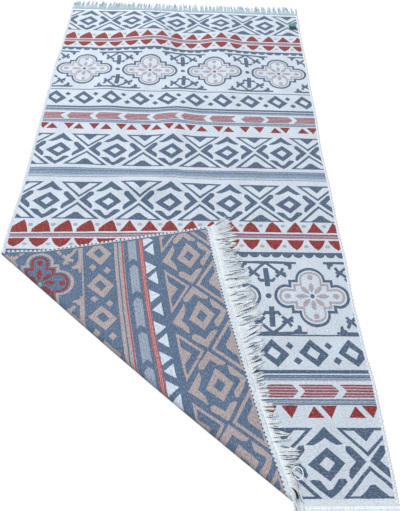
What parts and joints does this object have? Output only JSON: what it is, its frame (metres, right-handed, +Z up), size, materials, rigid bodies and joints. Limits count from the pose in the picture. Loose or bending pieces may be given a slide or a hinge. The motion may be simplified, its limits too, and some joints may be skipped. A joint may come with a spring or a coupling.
{
  "type": "kilim runner rug",
  "caption": "Flat-woven fringed rug runner lying flat, with one corner folded over to show its reversible back.",
  "frame": {"origin": "centre of the runner's footprint, fringes included, on the floor", "axes": "+Z up; +Y along the runner from the end with the folded corner to the other end; +X across it"},
  "size_m": [0.8135, 1.6288, 0.0268],
  "materials": {
    "cloth": "matt woven cotton",
    "fringe": "matt twisted cotton yarn",
    "label": "plain woven tape"
  },
  "bodies": {
    "root": {"cloth": "cloth", "fringe_far": "fringe", "fringe_near": "fringe", "fringe_flap": "fringe", "label": "label"}
  },
  "joints": []
}
